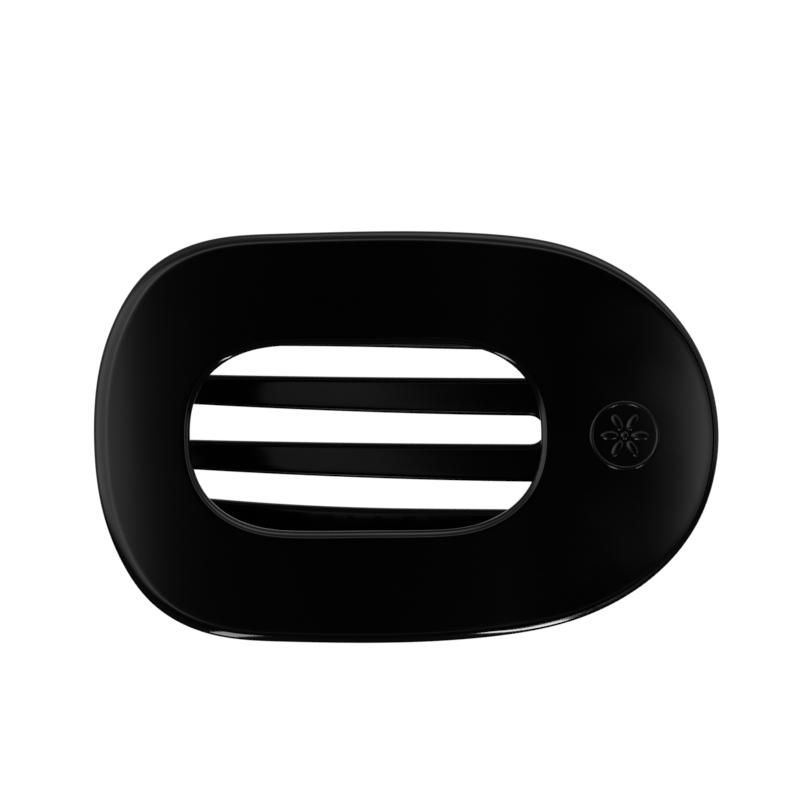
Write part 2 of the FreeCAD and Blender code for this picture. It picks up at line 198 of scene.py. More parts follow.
# ---- plastic; scales are per metre, distances and places in metres ----
PLASTIC_DARK = (0.0003, 0.0003, 0.00035)
PLASTIC_LIGHT = (0.0009, 0.0009, 0.001)
PLASTIC_IOR = 1.49
TONE_SCALE = 45.0
POLISH_SCALE = 120.0
SMEAR_SCALE = 60.0
WAVE_SCALE = 70.0
HAIRLINE_SCALE = 900.0
GRAIN_SCALE = 6000.0
HAIRLINE_STRETCH = (0.05, 1.0, 1.0)        # drawn out along the clip
HAIRLINE_HEIGHT = 0.02     # beside waves of height 1
GRAIN_HEIGHT = 0.004
PLASTIC_BUMP = (0.35, 0.00006)             # strength and distance
HAZE_X = (0.016, 0.025)                    # the thumb's haze rises along this stretch
HAZE_Y = (0.018, 0.025)                    # and fades here, towards the sides

# ---- steel ----
DRAW_LINE_SCALE = 5000.0
STEEL_TONE_SCALE = 350.0
STEEL_DARKEST = 0.78       # share of the full colour
STEEL_BUMP = (0.4, 0.00001)

# ---- floor and surroundings; directions are unit vectors, brightness 1 is white ----
FLOOR_HALF = 1.6
FLOOR_Z = -0.0002
FLOOR_BASE = 0.05
FLOOR_GLOW = 1.0
CEILING_STOPS = (          # (Z of the direction, brightness); the first holds below the horizon too
    (0.0, 0.30), (0.10, 0.50), (0.40, 0.50), (0.60, 0.30), (0.76, 0.18), (0.84, 0.30), (0.880, 1.15),
    (0.899, 1.04), (0.906, 0.73), (0.916, 0.50), (0.927, 0.18), (0.937, 0.088), (0.948, 0.055),
    (0.962, 0.03), (1.0, 0.012),
)
FRONT_Y = (-0.35, -0.22)   # the surroundings are dimmed in front of this
FRONT_DIM = 0.12
BACK_WALL_WAY = (0.36, 0.93)
BACK_WALL_EDGE = (0.78, 0.92)
LEFT_WALL_X = (-0.42, -0.52)
LEFT_WALL_GLOW = 0.8
LEFT_WALL_Y = (0.25, 0.42)
WALL_FOOT_Z = (-0.15, 0.05)
SOFTBOXES = (              # name, place, target, width, height, power; in metres and watts
    ("front_left", (-0.194, -0.584, 0.26), (-0.025, -0.028, 0.02), 0.09, 0.42, 0.75),
    ("front_right", (0.174, -0.587, 0.25), (0.02, -0.028, 0.02), 0.028, 0.34, 0.57),
)

# ---- camera: fitted to the outlines in the photo ----
PICTURE_SCALE = 7.0128     # picture points for each millimetre at the clip
PICTURE_WIDTH = 800.0      # picture points
CAMERA_DISTANCE = 1046.0
CAMERA_LEAN_Y = 0.128606
CAMERA_LEAN_X = 0.014772
CAMERA_ROLL = 0.007118
CAMERA_AIM = (0.0, 0.0, 17.0)
PICTURE_RIGHT = 5.685      # how far the aim lies from the picture's middle, in picture points
PICTURE_UP = 34.56
SENSOR_WIDTH = 36.0
CAMERA_CLIP = (0.01, 10.0)     # metres


# ================= sections of the two mouldings =================

def smooth_share(share):
    """An even share from 0 to 1 turned into one that starts and stops softly."""
    share = np.clip(share, 0.0, 1.0)
    return share * share * (3 - 2 * share)


def plate_table():
    """The plate's mid surface from end to end, with a smooth change from arch to flare."""
    step = PLATE_TABLE_STEP
    x = np.arange(-PLATE_HALF_LENGTH - 3.0, PLATE_HALF_LENGTH + 3.0, step)
    share = smooth_share((x - FLARE_START_X) / (2 * FLARE_BLEND) + 0.5)
    curvature = -(1 - share) / PLATE_ARCH_R + share / FLARE_R
    start = int(np.argmin(np.abs(x - PLATE_CREST_X)))
    sine = np.cumsum(curvature) * step
    sine -= sine[start]
    z = np.cumsum(np.tan(np.arcsin(sine))) * step
    z += PLATE_CREST_Z - z[start]
    return x, z, np.arcsin(sine)


PLATE_TABLE = plate_table()


def plate_z(x, offset=0.0):
    """Height of the surface that lies at an offset from the plate's mid surface."""
    z = np.interp(x, PLATE_TABLE[0], PLATE_TABLE[1])
    angle = np.interp(x, PLATE_TABLE[0], PLATE_TABLE[2])
    return z + offset / np.cos(angle)


def cubic(a, b, slope_a, slope_b, t):
    """Points at the shares t of the cubic curve from a to b with these slopes at its ends."""
    return (a * (2 * t ** 3 - 3 * t ** 2 + 1) + slope_a * (t ** 3 - 2 * t ** 2 + t)
            + b * (3 * t ** 2 - 2 * t ** 3) + slope_b * (t ** 3 - t ** 2))


def smooth_loop(points):
    """A dense closed cubic spline through the points, with lengths along the chords."""
    p = np.array(points, float)
    n = len(p)
    gap = np.linalg.norm(np.roll(p, -1, 0) - p, axis=1)
    matrix = np.zeros((n, n))
    right = np.zeros((n, 2))
    for i in range(n):
        before, after = gap[i - 1], gap[i]
        matrix[i, i - 1] += after
        matrix[i, i] += 2 * (before + after)
        matrix[i, (i + 1) % n] += before
        right[i] = 3 * (after * (p[i] - p[i - 1]) / before + before * (p[(i + 1) % n] - p[i]) / after)
    slope = np.linalg.solve(matrix, right)
    t = np.arange(LOOP_SAMPLES)[:, None] / LOOP_SAMPLES
    return np.concatenate([cubic(p[i], p[(i + 1) % n], slope[i] * gap[i], slope[(i + 1) % n] * gap[i], t)
                           for i in range(n)])


def smooth_line(points):
    """A dense open cubic spline through the points, without curvature at its ends."""
    p = np.array(points, float)
    n = len(p)
    gap = np.linalg.norm(np.diff(p, axis=0), axis=1)
    matrix = np.zeros((n, n))
    right = np.zeros((n, 2))
    matrix[0, 0], matrix[0, 1], right[0] = 2, 1, 3 * (p[1] - p[0]) / gap[0]
    matrix[-1, -1], matrix[-1, -2], right[-1] = 2, 1, 3 * (p[-1] - p[-2]) / gap[-1]
    for i in range(1, n - 1):
        before, after = gap[i - 1], gap[i]
        matrix[i, i - 1], matrix[i, i], matrix[i, i + 1] = after, 2 * (before + after), before
        right[i] = 3 * (after * (p[i] - p[i - 1]) / before + before * (p[i + 1] - p[i]) / after)
    slope = np.linalg.solve(matrix, right)
    t = np.arange(LINE_SAMPLES)[:, None] / LINE_SAMPLES
    return np.concatenate([cubic(p[i], p[i + 1], slope[i] * gap[i], slope[i + 1] * gap[i], t)
                           for i in range(n - 1)])


def even_points(loop, count):
    """Evenly spaced points round a closed loop, from its first point."""
    closed = np.vstack([loop, loop[:1]])
    length = np.concatenate([[0.0], np.cumsum(np.linalg.norm(np.diff(closed, axis=0), axis=1))])
    at = np.arange(count) * length[-1] / count
    return np.stack([np.interp(at, length, closed[:, k]) for k in (0, 1)], 1)


def loop_normals(points):
    """Unit normals of a closed loop: outward if it runs clockwise, inward if it doesn't."""
    tangent = np.roll(points, -1, 0) - np.roll(points, 1, 0)
    normal = np.stack([-tangent[:, 1], tangent[:, 0]], 1)
    return normal / np.linalg.norm(normal, axis=1)[:, None]


def slot_points():
    """Points round the slot: straight sides and superelliptic ends."""
    quarter = []
    for degrees in (0, 20, 38, 54, 68, 80):
        angle = math.radians(degrees)
        along = SLOT_END_LENGTH * math.sin(angle) ** (2 / SLOT_END_POWER) if degrees else 0.0
        quarter.append((along, SLOT_HALF_W * math.cos(angle) ** (2 / SLOT_END_POWER)))
    right_x = SLOT_X1 - SLOT_END_LENGTH
    left_x = SLOT_X0 + SLOT_END_LENGTH
    middle_x = (left_x + right_x) / 2
    points = [(SLOT_X0, 0.0)]
    points += [(left_x - a, b) for a, b in reversed(quarter)]
    points += [(middle_x, SLOT_HALF_W)]
    points += [(right_x + a, b) for a, b in quarter]
    points += [(SLOT_X1, 0.0)]
    points += [(right_x + a, -b) for a, b in reversed(quarter)]
    points += [(middle_x, -SLOT_HALF_W)]
    points += [(left_x - a, -b) for a, b in quarter]
    return points


# ================= mesh helpers =================

def new_mesh(name, verts, faces):
    """A mesh object in metres from points in millimetres, with its faces turned outward."""
    mesh = bpy.data.meshes.new(name)
    mesh.from_pydata([tuple(c * MM for c in v) for v in verts], [], faces)
    mesh.validate()
    bm = bmesh.new()
    bm.from_mesh(mesh)
    bmesh.ops.recalc_face_normals(bm, faces=bm.faces)
    bm.to_mesh(mesh)
    bm.free()
    obj = bpy.data.objects.new(name, mesh)
    bpy.context.scene.collection.objects.link(obj)
    return obj


def ring_faces(rows, count, first=0, close=True):
    """Quads between successive rings of the same number of points."""
    faces = []
    for r in range(rows if close else rows - 1):
        a = first + r * count
        b = first + ((r + 1) % rows) * count
        for i in range(count):
            j = (i + 1) % count
            faces.append((a + i, a + j, b + j, b + i))
    return faces


def capped_rings(rows, count):
    """Faces of a closed tube: quads between its rings, and one face on each end."""
    last = (rows - 1) * count
    return ring_faces(rows, count, close=False) + [tuple(range(count)), tuple(last + i for i in range(count))]


def smooth_shading(obj):
    obj.data.polygons.foreach_set("use_smooth", [True] * len(obj.data.polygons))


def finish_piece(obj, material, body, sharp_deg=50.0):
    """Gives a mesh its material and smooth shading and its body."""
    obj.data.materials.clear()
    obj.data.materials.append(material)
    smooth_shading(obj)
    obj.data.set_sharp_from_angle(angle=math.radians(sharp_deg))
    obj.data.update()
    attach(obj, body)
    return obj


def join_solids(obj, tools):
    """Fuses closed meshes into the first one."""
    for tool in tools:
        modifier = obj.modifiers.new("fuse", "BOOLEAN")
        modifier.operation = "UNION"
        modifier.solver = "EXACT"
        modifier.object = tool
        graph = bpy.context.evaluated_depsgraph_get()
        mesh = bpy.data.meshes.new_from_object(obj.evaluated_get(graph))
        obj.modifiers.clear()
        obj.data = mesh
        bpy.data.objects.remove(tool)
    return obj


def quarter_turn(steps):
    """Even angles from 0 to 90 degrees."""
    return [math.pi / 2 * i / steps for i in range(steps + 1)]


def rounding(inset, drop, steps):
    """(inset, drop) pairs round a quarter ellipse, from the wall to the flat."""
    return [(inset * (1 - math.cos(a)), drop * (1 - math.sin(a))) for a in quarter_turn(steps)]


# ================= cover plate =================

def outer_inset(points):
    """How far the rounding of the plate's outer edge reaches in, point by point."""
    share = smooth_share((points[:, 0] - THUMB_EDGE_X0) / (THUMB_EDGE_X1 - THUMB_EDGE_X0))
    return (PLATE_EDGE_TOP_INSET * (1 - share) + THUMB_EDGE_TOP_INSET * share)[:, None]


def make_plate():
    upper = PLATE_HALF_OUTLINE
    outline = [(-PLATE_HALF_LENGTH, 0.0), *upper, (PLATE_HALF_LENGTH, 0.0)]
    outline += [(x, -y) for x, y in reversed(upper)]
    outer = even_points(smooth_loop(outline), PLATE_STATIONS)
    slot = even_points(smooth_loop(slot_points()), PLATE_STATIONS)
    inward = -loop_normals(outer)
    outward = loop_normals(slot)
    half_t = PLATE_T / 2
    rows = []
    for inset, drop in rounding(SLOT_EDGE_TOP_INSET, SLOT_EDGE_TOP_R, ROUND_STEPS):
        rows.append((slot + outward * inset, half_t - drop))
    inner_edge = slot + outward * SLOT_EDGE_TOP_INSET
    outer_edge = outer + inward * outer_inset(outer)
    for i in range(1, TOP_ROWS):
        share = i / TOP_ROWS
        rows.append((inner_edge * (1 - share) + outer_edge * share, half_t))
    for share, drop in reversed(rounding(1.0, PLATE_EDGE_TOP_R, ROUND_STEPS)):
        rows.append((outer + inward * outer_inset(outer) * share, half_t - drop))
    for inset, drop in rounding(PLATE_EDGE_UNDER_R, PLATE_EDGE_UNDER_R, ROUND_STEPS):
        rows.append((outer + inward * inset, drop - half_t))
    inner_edge = slot + outward * SLOT_EDGE_UNDER_R
    outer_edge = outer + inward * PLATE_EDGE_UNDER_R
    for i in range(1, UNDER_ROWS):
        share = i / UNDER_ROWS
        rows.append((outer_edge * (1 - share) + inner_edge * share, -half_t))
    for inset, drop in reversed(rounding(SLOT_EDGE_UNDER_R, SLOT_EDGE_UNDER_R, ROUND_STEPS)):
        rows.append((slot + outward * inset, drop - half_t))
    verts = []
    for points, offset in rows:
        z = plate_z(points[:, 0], offset)
        verts += [(p[0], p[1], h) for p, h in zip(points, z)]
    return new_mesh("cover_shell", verts, ring_faces(len(rows), PLATE_STATIONS))


def make_eye(name, radius, bore, neck, lean, y0, y1):
    """A bored hinge eye whose neck reaches away at an angle from straight up."""
    angles = np.arange(EYE_POINTS) * 2 * math.pi / EYE_POINTS
    up = np.cos(angles)
    side_limit = radius / (np.abs(np.sin(angles)) + TINY)
    top_limit = np.where(up > 0, neck / np.maximum(up, TINY), radius)
    reach = np.where(up > 0, np.minimum(side_limit, top_limit), radius)
    edge = [(reach - EYE_EDGE_R + EYE_EDGE_R * math.sin(a), EYE_EDGE_R * (1 - math.cos(a)))
            for a in quarter_turn(EYE_EDGE_STEPS)]
    loops = [(np.full(EYE_POINTS, bore), y0)]
    loops += [(r, y0 + drop) for r, drop in edge]
    loops += [(r, y1 - drop) for r, drop in reversed(edge)]
    loops += [(np.full(EYE_POINTS, bore), y1)]
    verts = []
    for r, y in loops:
        verts += [(PIN_X + ri * math.sin(a + lean), y, PIN_Z + ri * math.cos(a + lean))
                  for ri, a in zip(r, angles)]
    return new_mesh(name, verts, ring_faces(len(loops), EYE_POINTS))


def make_rounded_block(name, sections):
    """A closed block lofted through rectangular sections with round corners: (centre, half_x, half_y, r)."""
    verts = []
    count = 4 * BLOCK_CORNER_POINTS
    for (cx, cy, cz), hx, hy, r in sections:
        for i in range(count):
            quarter, step = divmod(i, BLOCK_CORNER_POINTS)
            angle = math.pi / 2 * (quarter + step / (BLOCK_CORNER_POINTS - 1))
            sx = 1 if quarter in (0, 3) else -1
            sy = 1 if quarter in (0, 1) else -1
            verts.append((cx + sx * (hx - r) + r * math.cos(angle),
                          cy + sy * (hy - r) + r * math.sin(angle), cz))
    return new_mesh(name, verts, capped_rings(len(sections), count))


def make_tooth(name, y):
    """A grip tooth with a round tip, hanging from the plate."""
    root = float(plate_z(TOOTH_X))
    half_x, half_y = TOOTH_T / 2, TOOTH_W / 2
    sections = [((TOOTH_X, y, root), half_x, half_y, TOOTH_CORNER_R)]
    for a in quarter_turn(TOOTH_TIP_STEPS):
        narrowing = 1 - math.cos(a)
        sections.append(((TOOTH_X, y, root - TOOTH_DROP + TOOTH_TIP_R * (1 - math.sin(a))),
                         half_x - TOOTH_TIP_R * narrowing, half_y - TOOTH_TIP_R * narrowing,
                         TOOTH_CORNER_R - (TOOTH_CORNER_R - TOOTH_TIP_CORNER_R) * narrowing))
    return make_rounded_block(name, sections)


def on_plate(x, y, height):
    """A point above the plate's outer surface."""
    return (x, y, float(plate_z(x, PLATE_T / 2)) + height)


def crown(angle):
    """Height of a raised line of the emblem, from 0 at its side through its top at 90 degrees."""
    return EMBLEM_HEIGHT * math.sin(angle) ** EMBLEM_CROWN_POWER


def make_emblem():
    """Raised ring and six-petal flower with soft edges, following the plate's outer surface."""
    verts = []
    half_w = (RING_OUTER_R - RING_INNER_R) / 2
    mid_r = (RING_OUTER_R + RING_INNER_R) / 2
    across = [math.pi * i / RING_STEPS for i in range(RING_STEPS + 1)]
    profile = [(-1.0, EMBLEM_FOOT), *[(-math.cos(a), crown(a)) for a in across], (1.0, EMBLEM_FOOT)]
    for side, height in profile:
        radius = mid_r + half_w * side
        for i in range(RING_POINTS):
            a = 2 * math.pi * i / RING_POINTS
            verts.append(on_plate(EMBLEM_X + radius * math.cos(a), radius * math.sin(a), height))
    faces = ring_faces(len(profile), RING_POINTS)
    domes = [(0.0, 0.0, FLOWER_EYE_R, FLOWER_EYE_R, 0.0)]
    reach = PETAL_INNER_R + PETAL_LENGTH / 2
    for k in range(PETALS):
        turn = 2 * math.pi * k / PETALS
        domes.append((reach * math.cos(turn), reach * math.sin(turn),
                      PETAL_LENGTH / 2, PETAL_WIDTH / 2, turn))
    levels = [(1.0, EMBLEM_FOOT), *[(math.cos(a), crown(a)) for a in quarter_turn(PETAL_STEPS)[:-1]]]
    for cx, cy, half_length, half_width, turn in domes:
        first = len(verts)
        for share, height in levels:
            for i in range(PETAL_POINTS):
                t = 2 * math.pi * i / PETAL_POINTS
                u, v = half_length * share * math.cos(t), half_width * share * math.sin(t)
                x = cx + u * math.cos(turn) - v * math.sin(turn)
                y = cy + u * math.sin(turn) + v * math.cos(turn)
                verts.append(on_plate(EMBLEM_X + x, y, height))
        faces += ring_faces(len(levels), PETAL_POINTS, first, close=False)
        faces.append(tuple(first + i for i in range(PETAL_POINTS)))
        top = len(verts)
        verts.append(on_plate(EMBLEM_X + cx, cy, EMBLEM_HEIGHT))
        rim = first + (len(levels) - 1) * PETAL_POINTS
        faces += [(rim + i, rim + (i + 1) % PETAL_POINTS, top) for i in range(PETAL_POINTS)]
    return new_mesh("emblem", verts, faces)


# ================= comb jaw =================

def walk(x, z, heading, runs):
    """Dense points along straight runs and arcs: rows of (travelled, x, z, heading)."""
    rows = [(0.0, x, z, heading)]
    travelled = 0.0
    for length, turn in runs:
        pieces = max(1, int(math.ceil(length / WALK_STEP)))
        for i in range(pieces):
            middle = heading + turn * (i + 0.5) / pieces
            x += length / pieces * math.cos(middle)
            z += length / pieces * math.sin(middle)
            travelled += length / pieces
            rows.append((travelled, x, z, heading + turn * (i + 1) / pieces))
        heading += turn
    return np.array(rows)


def comb_angle(x):
    return -math.asin((x - COMB_CREST_X) / COMB_ARCH_R)


def comb_z(x):
    return COMB_CREST_Z - COMB_ARCH_R + math.sqrt(COMB_ARCH_R ** 2 - (x - COMB_CREST_X) ** 2)


class CombLine:
    """The comb's mid line from a tine's tip (s < 0) over the web (s = 0) to the tab's nose."""

    def __init__(self, hook_shift):
        hook_x = HOOK_START_X + hook_shift
        root_angle = comb_angle(WEB_X0)
        hook_angle = comb_angle(hook_x)
        arch = (COMB_ARCH_R * (hook_angle - root_angle), hook_angle - root_angle)
        turn = hook_angle + math.radians(HOOK_END_DEG)
        hook = (HOOK_R * turn, -turn)
        start = (WEB_X0, comb_z(WEB_X0), math.pi + root_angle)
        bent = walk(*start, [arch, hook])
        top = float(plate_z(bent[-1, 1], -PLATE_T / 2)) - TIP_CLEARANCE
        tip = ((top - bent[-1, 2]) / math.sin(bent[-1, 3]), 0.0)
        tine = walk(*start, [arch, hook, tip])
        slope = math.radians(TAB_SLOPE_DEG)
        end = math.radians(TAB_END_DEG)
        level_turn = -WEB_LEVEL_LENGTH / COMB_ARCH_R
        drop = root_angle + level_turn + slope
        base = walk(WEB_X0, comb_z(WEB_X0), root_angle, [
            (WEB_LEVEL_LENGTH, level_turn), (TAB_BEND_R * drop, -drop), (TAB_SLOPE_LENGTH, 0.0),
            (TAB_FLARE_R * (slope - end), slope - end), (TAB_END_LENGTH, 0.0)])
        back = tine[:0:-1]
        self.s = np.concatenate([-back[:, 0], base[:, 0]])
        self.x = np.concatenate([back[:, 1], base[:, 1]])
        self.z = np.concatenate([back[:, 2], base[:, 2]])
        self.up_x = np.concatenate([np.sin(back[:, 3]), -np.sin(base[:, 3])])
        self.up_z = np.concatenate([-np.cos(back[:, 3]), np.cos(base[:, 3])])
        self.arch_end = -arch[0]
        self.tip = -tine[-1, 0]

    def taper(self, s):
        return np.clip((self.arch_end - s) / (self.arch_end - self.tip), 0.0, 1.0)

    def thickness(self, s):
        share = self.taper(s)
        return COMB_T * (1 - share) + TINE_TIP_T * share

    def half_width(self, s):
        x = np.maximum(np.interp(s, self.s, self.x), HOOK_START_X)
        share = np.clip((TINE_ROOT_X - x) / (TINE_ROOT_X - HOOK_START_X), 0.0, 1.0)
        width = TINE_ROOT_W - (TINE_ROOT_W - TINE_BELLY_W) * share ** TINE_NARROWING
        taper = self.taper(s)
        return (width * (1 - taper) + TINE_TIP_W * taper) / 2

    def place(self, s, y, offset):
        x = np.interp(s, self.s, self.x) + offset * np.interp(s, self.s, self.up_x)
        z = np.interp(s, self.s, self.z) + offset * np.interp(s, self.s, self.up_z)
        return np.stack([x, y, z], 1)


INNER = CombLine(0.0)
OUTER = CombLine(OUTER_HOOK_SHIFT)
TINE_SPLIT_Y = (TINE_INNER_Y + TINE_OUTER_Y) / 2


def tine_edge(line, y, sign, bow, s0):
    """One side of a tine in the flattened comb, from near the web to the start of its round tip."""
    s = np.linspace(s0, line.tip + TINE_NOSE, TINE_EDGE_POINTS)
    x = np.interp(s, line.s, line.x)
    centre = y - bow * np.minimum(0.0, x) ** 2
    return np.stack([s, centre + sign * line.half_width(s)], 1)


def tine_tip(line, y, bow):
    """The round end of a tine, from its outer side to its inner side."""
    s0 = line.tip + TINE_NOSE
    centre = y - bow * min(0.0, float(np.interp(s0, line.s, line.x))) ** 2
    half = float(line.half_width(np.array(s0)))
    angles = np.linspace(0, math.pi, TINE_NOSE_POINTS)[1:-1]
    return np.array([
        (s0 - TINE_NOSE * math.sin(a) ** TINE_NOSE_POWER,
         centre + half * math.copysign(abs(math.cos(a)) ** TINE_NOSE_POWER, math.cos(a))) for a in angles])


def comb_outline():
    """Half of the flattened comb's outline, from the tab's nose to the root of the middle gap."""
    dense = smooth_line([*BASE_HALF_OUTLINE, (TAB_NOSE_X, 0.0),
                         *[(x, -y) for x, y in reversed(BASE_HALF_OUTLINE)]])
    half = dense[dense[:, 1] >= 0][::-1]
    half[:, 0] = np.interp(half[:, 0], INNER.x[INNER.s >= 0], INNER.s[INNER.s >= 0])
    gap_s = float(np.interp(GAP_ROOT_X, INNER.x[INNER.s >= 0], INNER.s[INNER.s >= 0]))
    side_r = (TINE_OUTER_Y - TINE_INNER_Y - TINE_ROOT_W) / 2
    middle_r = TINE_INNER_Y - TINE_ROOT_W / 2
    outer_side = tine_edge(OUTER, TINE_OUTER_Y, 1, OUTER_TINE_BOW, OUTER_TINE_START_S)
    inner_side = tine_edge(OUTER, TINE_OUTER_Y, -1, OUTER_TINE_BOW, 0.0)[::-1]
    arc = np.linspace(0, math.pi, GAP_ROOT_POINTS)
    root = np.stack([gap_s - side_r + side_r * np.sin(arc), TINE_SPLIT_Y + side_r * np.cos(arc)], 1)
    second_out = tine_edge(INNER, TINE_INNER_Y, 1, 0.0, 0.0)
    second_in = tine_edge(INNER, TINE_INNER_Y, -1, 0.0, 0.0)[::-1]
    arc = np.linspace(0, math.pi / 2, MIDDLE_ROOT_POINTS)
    middle = np.stack([gap_s - middle_r + middle_r * np.sin(arc), middle_r * np.cos(arc)], 1)
    return np.concatenate([half, outer_side, tine_tip(OUTER, TINE_OUTER_Y, OUTER_TINE_BOW), inner_side,
                           root, second_out, tine_tip(INNER, TINE_INNER_Y, 0.0), second_in, middle])


def comb_place(points, offset):
    """Points of the flattened comb, at an offset from its mid surface, in the clip."""
    inner = INNER.place(points[:, 0], points[:, 1], offset)
    outer = OUTER.place(points[:, 0], points[:, 1], offset)
    pick = (np.abs(points[:, 1]) > TINE_SPLIT_Y)[:, None]
    return np.where(pick, outer, inner)


def comb_thickness(points):
    outer, inner = OUTER.thickness(points[:, 0]), INNER.thickness(points[:, 0])
    return np.where(np.abs(points[:, 1]) > TINE_SPLIT_Y, outer, inner)


def resample(loop, spacing):
    closed = np.vstack([loop, loop[:1]])
    length = np.linalg.norm(np.diff(closed, axis=0), axis=1).sum()
    return even_points(loop, int(length / spacing))


def make_comb():
    """The whole comb: rounded edges round its outline, and top and underside filled with triangles."""
    upper = comb_outline()
    lower = upper[::-1] * np.array([1.0, -1.0])
    loop = resample(np.concatenate([upper, lower[1:-1]]), COMB_LOOP_SPACING)
    inward = loop_normals(loop)
    area = 0.5 * np.sum(loop[:, 0] * np.roll(loop[:, 1], -1) - np.roll(loop[:, 0], -1) * loop[:, 1])
    if area < 0:
        inward = -inward
    count = len(loop)
    thick = comb_thickness(loop)
    corner = TINE_CORNER * thick
    edge = rounding(1.0, 1.0, COMB_EDGE_STEPS)
    rings = [(*pair, 1) for pair in reversed(edge)] + [(*pair, -1) for pair in edge]
    verts = []
    for inset, drop, side in rings:
        points = loop + inward * (inset * corner)[:, None]
        verts += comb_place(points, side * (thick / 2 - drop * corner)).tolist()
    faces = ring_faces(len(rings), count, close=False)
    inner_loop = loop + inward * corner[:, None]
    low, high = inner_loop.min(0), inner_loop.max(0)
    near = inner_loop[::2]
    first_y = -math.floor(high[1]) - COMB_GRID_SPACING / 2
    grid = [(s, y) for s in np.arange(low[0], high[0], COMB_GRID_SPACING)
            for y in np.arange(first_y, high[1], COMB_GRID_SPACING * COMB_GRID_SQUEEZE)
            if np.min((near[:, 0] - s) ** 2 + (near[:, 1] - y) ** 2) > (COMB_GRID_SPACING / 2) ** 2]
    coords = [Vector(p) for p in inner_loop.tolist()] + [Vector(p) for p in grid]
    cdt = delaunay_2d_cdt(coords, [], [list(range(count))], FILL_INSIDE, FILL_TOLERANCE)
    flat_points = np.array([tuple(p) for p in cdt[0]])
    origins = cdt[3]
    top_index, under_index = {}, {}
    last = (len(rings) - 1) * count
    thick_in = comb_thickness(flat_points)
    top_xyz = comb_place(flat_points, thick_in / 2)
    under_xyz = comb_place(flat_points, -thick_in / 2)
    for k, source in enumerate(origins):
        rim = [o for o in source if o < count]
        if rim:
            top_index[k], under_index[k] = rim[0], last + rim[0]
        else:
            top_index[k] = len(verts)
            verts.append(tuple(top_xyz[k]))
            under_index[k] = len(verts)
            verts.append(tuple(under_xyz[k]))
    for face in cdt[2]:
        faces.append(tuple(top_index[k] for k in face))
        faces.append(tuple(under_index[k] for k in reversed(face)))
    return new_mesh("comb_shell", verts, faces)


# ================= torsion spring =================

def coil_point(angle, y):
    """A point on the coil's centre line, at an angle from straight up."""
    return np.array([PIN_X + COIL_R * math.sin(angle), y, PIN_Z + COIL_R * math.cos(angle)])


def make_spring():
    """One wire: the leg on the tab, the close coil, and the leg under the plate."""
    first = math.pi + TAB_LEG_ANGLE
    last = 2 * math.pi * COIL_TURNS + PLATE_LEG_ANGLE
    start = coil_point(first, -COIL_HALF_LENGTH)
    tab_way = np.array([math.cos(TAB_LEG_ANGLE), 0.0, -math.sin(TAB_LEG_ANGLE)])
    tab_length = (TAB_LEG_REACH_X - start[0]) / tab_way[0]
    line = [start + tab_way * tab_length * (1 - i / LEG_STEPS) for i in range(LEG_STEPS)]
    for angle in np.linspace(first, last, COIL_STEPS * COIL_TURNS):
        share = (angle - first) / (last - first)
        line.append(coil_point(angle, COIL_HALF_LENGTH * (2 * share - 1)))
    end = coil_point(last, COIL_HALF_LENGTH)
    plate_way = np.array([math.cos(PLATE_LEG_ANGLE), 0.0, -math.sin(PLATE_LEG_ANGLE)])
    plate_length = (PLATE_LEG_REACH_X - end[0]) / plate_way[0]
    line += [end + plate_way * plate_length * i / LEG_STEPS for i in range(1, LEG_STEPS + 1)]
    line = np.array(line)
    tangent = np.gradient(line, axis=0)
    tangent /= np.linalg.norm(tangent, axis=1)[:, None]
    verts = []
    side = np.cross(tangent[0], (0.0, 1.0, 0.0))
    rings = [(line[0] - tangent[0] * WIRE_R * math.cos(a), tangent[0], math.sin(a)) for a in WIRE_END_ANGLES]
    rings += [(p, t, 1.0) for p, t in zip(line, tangent)]
    rings += [(line[-1] + tangent[-1] * WIRE_R * math.cos(a), tangent[-1], math.sin(a))
              for a in reversed(WIRE_END_ANGLES)]
    for centre, along, scale in rings:
        side = side - along * np.dot(side, along)
        side /= np.linalg.norm(side)
        other = np.cross(along, side)
        for i in range(WIRE_POINTS):
            a = 2 * math.pi * i / WIRE_POINTS
            verts.append(centre + WIRE_R * scale * (side * math.cos(a) + other * math.sin(a)))
    return new_mesh("spring_wire", verts, capped_rings(len(rings), WIRE_POINTS))


# ================= materials =================

def node_tree(name):
    """A new material, its nodes and its shader."""
    material = bpy.data.materials.new(name)
    material.use_nodes = True
    tree = material.node_tree
    shader = tree.nodes["Principled BSDF"]
    return material, tree, shader


def add_noise(tree, coords, scale, detail=2.0, stretch=(1, 1, 1), roughness=0.5):
    mapping = tree.nodes.new("ShaderNodeMapping")
    mapping.inputs["Scale"].default_value = stretch
    tree.links.new(coords, mapping.inputs["Vector"])
    noise = tree.nodes.new("ShaderNodeTexNoise")
    noise.inputs["Scale"].default_value = scale
    noise.inputs["Detail"].default_value = detail
    noise.inputs["Roughness"].default_value = roughness
    tree.links.new(mapping.outputs["Vector"], noise.inputs["Vector"])
    return noise.outputs["Fac"]


def add_range(tree, value, low, high, to_low, to_high):
    node = tree.nodes.new("ShaderNodeMapRange")
    node.inputs["From Min"].default_value = low
    node.inputs["From Max"].default_value = high
    node.inputs["To Min"].default_value = to_low
    node.inputs["To Max"].default_value = to_high
    tree.links.new(value, node.inputs["Value"])
    return node.outputs["Result"]


def add_math(tree, operation, a, b):
    node = tree.nodes.new("ShaderNodeMath")
    node.operation = operation
    for socket, value in zip(node.inputs, (a, b)):
        if isinstance(value, (int, float)):
            socket.default_value = value
        else:
            tree.links.new(value, socket)
    return node.outputs[0]


def add_ramp(tree, value, stops):
    """A colour ramp; each stop is (position, colour)."""
    node = tree.nodes.new("ShaderNodeValToRGB")
    ramp = node.color_ramp
    for element, (position, colour) in zip(ramp.elements, (stops[0], stops[-1])):
        element.position = position
        element.color = (*colour, 1)
    for position, colour in stops[1:-1]:
        ramp.elements.new(position).color = (*colour, 1)
    tree.links.new(value, node.inputs["Fac"])
    return node.outputs["Color"]


